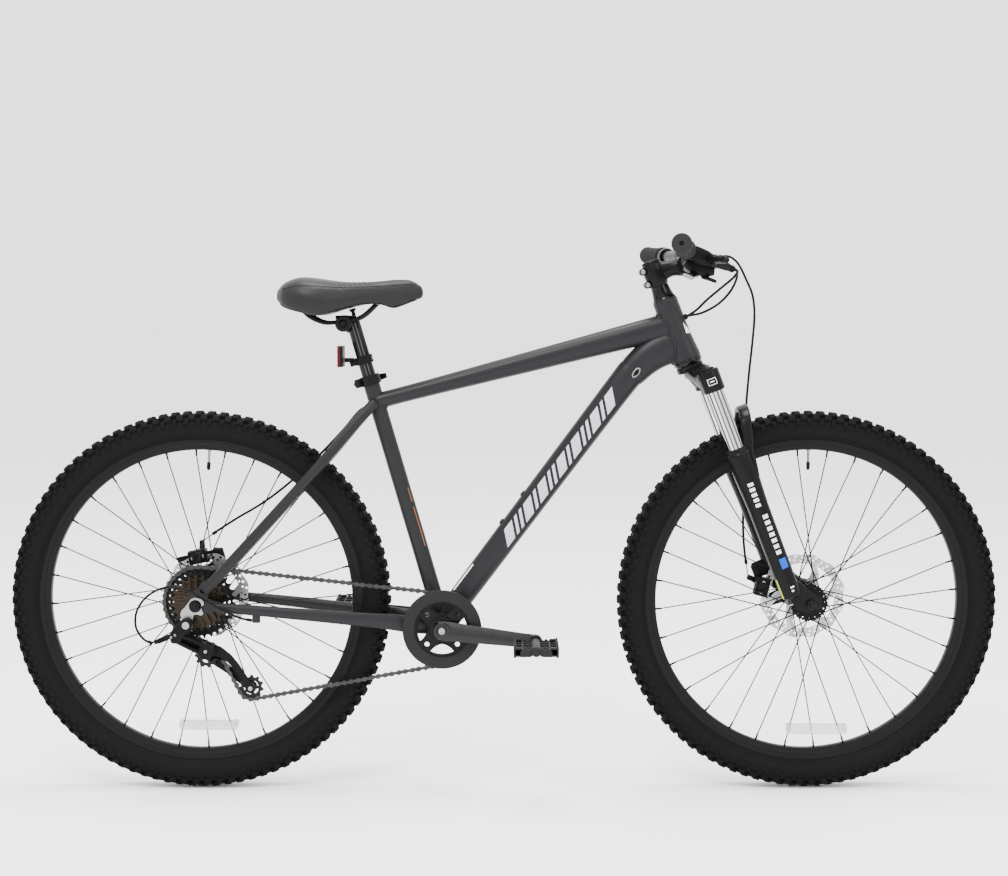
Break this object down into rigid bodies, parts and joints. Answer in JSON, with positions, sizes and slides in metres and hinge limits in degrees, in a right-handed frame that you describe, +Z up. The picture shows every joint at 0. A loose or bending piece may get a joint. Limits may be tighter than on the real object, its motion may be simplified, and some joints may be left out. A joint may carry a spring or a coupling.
{
  "type": "mountain bike",
  "caption": "Hardtail mountain bicycle with a suspension fork, disc brakes, a flat bar, knobbly tyres, a guarded chainring and a rear derailleur.",
  "frame": {"origin": "on the ground, midway between the two tyres' contacts", "axes": "+X forward, +Y to the rider's left, +Z up; the chain is on the -Y side"},
  "size_m": [1.811, 0.6872, 1.0073],
  "materials": {
    "frame_paint": "matte charcoal powder coat",
    "black_metal": "satin black coated metal",
    "black_plastic": "matte moulded plastic",
    "tyre_rubber": "dull moulded rubber",
    "grip_rubber": "ribbed soft rubber",
    "rim_black": "satin anodised black",
    "saddle_vinyl": "stitched matte vinyl over foam",
    "steel": "bright zinc or stainless finish",
    "chrome": "polished hard chrome",
    "sprocket_bronze": "brown phosphate finish",
    "reflector_red": "moulded prismatic plastic"
  },
  "bodies": {
    "frame": {"frame": "frame_paint", "headset_upper": "black_metal", "headset_lower": "black_metal", "bottom_bracket": "steel", "seat_collar": "black_metal", "derailleur_hanger": "steel", "derailleur_body": "black_metal", "rear_caliper": "black_metal", "rear_axle": "steel", "chain": "steel", "bar_cables": "black_plastic", "rear_shift_cable": "black_plastic", "rear_brake_cable": "black_plastic"},
    "seat_lever": {"seat_lever": "black_metal"},
    "seatpost": {"seatpost": "black_metal", "rear_reflector": "reflector_red"},
    "saddle": {"saddle_cover": "saddle_vinyl", "saddle_base": "black_plastic", "saddle_rails": "steel"},
    "steering": {"fork_crown": "black_metal", "stanchion_right": "chrome", "stanchion_left": "chrome", "stem": "black_metal", "stem_faceplate": "black_metal", "stem_cap": "black_metal", "handlebar": "black_metal", "grip_right": "grip_rubber", "grip_left": "grip_rubber", "brake_perch_right": "black_metal", "brake_perch_left": "black_metal", "shifter": "black_plastic", "front_brake_cable": "black_plastic"},
    "brake_lever_right": {"brake_lever_right": "black_metal"},
    "brake_lever_left": {"brake_lever_left": "black_metal"},
    "shift_lever": {"shift_lever": "steel"},
    "release_lever": {"release_lever": "black_plastic"},
    "lowers": {"fork_lowers": "black_metal", "front_caliper": "black_metal", "front_axle": "steel"},
    "front_brake_arm": {"front_brake_arm": "black_metal"},
    "rear_brake_arm": {"rear_brake_arm": "black_metal"},
    "front_wheel": {"front_tyre": "tyre_rubber", "front_rim": "rim_black", "front_hub": "black_metal", "front_rotor": "steel"},
    "rear_wheel": {"rear_tyre": "tyre_rubber", "rear_rim": "rim_black", "rear_hub": "black_metal", "rear_rotor": "steel"},
    "freewheel": {"freewheel": "sprocket_bronze"},
    "crankset": {"chainring": "black_plastic", "crank_right": "black_metal", "crank_left": "black_metal"},
    "pedal_right": {"pedal_right": "black_plastic"},
    "pedal_left": {"pedal_left": "black_plastic"},
    "derailleur_link": {"derailleur_link": "black_metal"},
    "derailleur_knuckle": {"derailleur_knuckle": "black_metal"},
    "derailleur_cage": {"derailleur_cage": "black_plastic"},
    "guide_pulley": {"guide_pulley": "black_plastic"},
    "tension_pulley": {"tension_pulley": "black_plastic"}
  },
  "joints": [
    {"name": "seat_lever_swing", "type": "hinge", "parent": "frame", "child": "seat_lever", "pos_m": [-0.26745, 0.018, 0.74687], "axis": [-0.2807, 0, 0.9598], "range_deg": [0, 150]},
    {"name": "seatpost_height", "type": "slide", "parent": "frame", "child": "seatpost", "axis": [-0.2807, 0, 0.9598], "range_m": [-0.02, 0.1]},
    {"name": "saddle_tilt", "type": "hinge", "parent": "seatpost", "child": "saddle", "pos_m": [-0.291, 0, 0.857], "axis": [0, 1, 0], "range_deg": [-12, 12]},
    {"name": "steering_turn", "type": "hinge", "parent": "frame", "child": "steering", "pos_m": [0.334, 0, 0.7915], "axis": [-0.3584, 0, 0.9336], "range_deg": [-70, 70], "deforming": ["bar_cables"]},
    {"name": "brake_lever_right_pull", "type": "hinge", "parent": "steering", "child": "brake_lever_right", "pos_m": [0.3518, -0.187, 0.96915], "axis": [-0.342, 0, -0.9397], "range_deg": [0, 16], "stiffness_Nm_per_rad": 1, "springref_deg": -17.19},
    {"name": "brake_lever_left_pull", "type": "hinge", "parent": "steering", "child": "brake_lever_left", "pos_m": [0.3543, 0.187, 0.98205], "axis": [0.0349, 0, 0.9994], "range_deg": [0, 16], "stiffness_Nm_per_rad": 1, "springref_deg": -17.19},
    {"name": "shift_lever_push", "type": "hinge", "parent": "steering", "child": "shift_lever", "pos_m": [0.331, -0.15, 0.9435], "axis": [0.342, 0, 0.9397], "range_deg": [0, 30], "stiffness_Nm_per_rad": 0.4, "springref_deg": -17.19},
    {"name": "release_lever_push", "type": "hinge", "parent": "steering", "child": "release_lever", "pos_m": [0.349, -0.152, 0.938], "axis": [0.342, 0, 0.9397], "range_deg": [0, 12], "stiffness_Nm_per_rad": 0.4, "springref_deg": -17.19},
    {"name": "fork_compress", "type": "slide", "parent": "steering", "child": "lowers", "axis": [-0.3584, 0, 0.9336], "range_m": [0, 0.095], "stiffness_N_per_m": 5500, "springref_m": -0.02, "deforming": ["front_brake_cable"]},
    {"name": "front_wheel_spin", "type": "hinge", "parent": "lowers", "child": "front_wheel", "pos_m": [0.5565, 0, 0.349], "axis": [0, 1, 0], "continuous": true},
    {"name": "front_brake_arm_turn", "type": "hinge", "parent": "lowers", "child": "front_brake_arm", "pos_m": [0.481, 0.062, 0.3667], "axis": [0, 1, 0], "range_deg": [0, 20]},
    {"name": "rear_wheel_spin", "type": "hinge", "parent": "frame", "child": "rear_wheel", "pos_m": [-0.5565, 0, 0.349], "axis": [0, 1, 0], "continuous": true},
    {"name": "rear_brake_arm_turn", "type": "hinge", "parent": "frame", "child": "rear_brake_arm", "pos_m": [-0.572, 0.0745, 0.421], "axis": [0, 1, 0], "range_deg": [0, 20]},
    {"name": "freewheel_spin", "type": "hinge", "parent": "frame", "child": "freewheel", "pos_m": [-0.5565, 0, 0.349], "axis": [0, 1, 0], "continuous": true},
    {"name": "crank_spin", "type": "hinge", "parent": "frame", "child": "crankset", "pos_m": [-0.1125, 0, 0.3025], "axis": [0, 1, 0], "continuous": true},
    {"name": "pedal_right_spin", "type": "hinge", "parent": "crankset", "child": "pedal_right", "pos_m": [0.05657, -0.134, 0.28473], "axis": [0, 1, 0], "continuous": true},
    {"name": "pedal_left_spin", "type": "hinge", "parent": "crankset", "child": "pedal_left", "pos_m": [-0.28157, 0.134, 0.32027], "axis": [0, 1, 0], "continuous": true},
    {"name": "derailleur_shift", "type": "hinge", "parent": "frame", "child": "derailleur_link", "pos_m": [-0.586, -0.082, 0.293], "axis": [0.5547, 0, 0.832], "range_deg": [-33.2, 0], "deforming": ["chain", "rear_shift_cable"]},
    {"name": "derailleur_parallel", "type": "hinge", "parent": "derailleur_link", "child": "derailleur_knuckle", "pos_m": [-0.541, -0.056, 0.264], "axis": [0.5547, 0, 0.832], "range_deg": [0, 33.2]},
    {"name": "cage_tension", "type": "hinge", "parent": "derailleur_knuckle", "child": "derailleur_cage", "pos_m": [-0.541, -0.04, 0.264], "axis": [0, 1, 0], "range_deg": [0, 65], "stiffness_Nm_per_rad": 0.6, "springref_deg": -22.92, "deforming": ["chain"]},
    {"name": "guide_pulley_spin", "type": "hinge", "parent": "derailleur_cage", "child": "guide_pulley", "pos_m": [-0.544, -0.029, 0.25], "axis": [0, 1, 0], "continuous": true},
    {"name": "tension_pulley_spin", "type": "hinge", "parent": "derailleur_cage", "child": "tension_pulley", "pos_m": [-0.464, -0.029, 0.191], "axis": [0, 1, 0], "continuous": true}
  ],
  "couplings": [
    {"joint": "front_brake_arm_turn", "follows": "brake_lever_left_pull", "ratio": 1.2},
    {"joint": "rear_brake_arm_turn", "follows": "brake_lever_right_pull", "ratio": 1.2},
    {"joint": "freewheel_spin", "follows": "crank_spin", "ratio": 1},
    {"joint": "guide_pulley_spin", "follows": "crank_spin", "ratio": -2.9091},
    {"joint": "tension_pulley_spin", "follows": "crank_spin", "ratio": 2.9091},
    {"joint": "derailleur_parallel", "follows": "derailleur_shift", "ratio": -1}
  ]
}
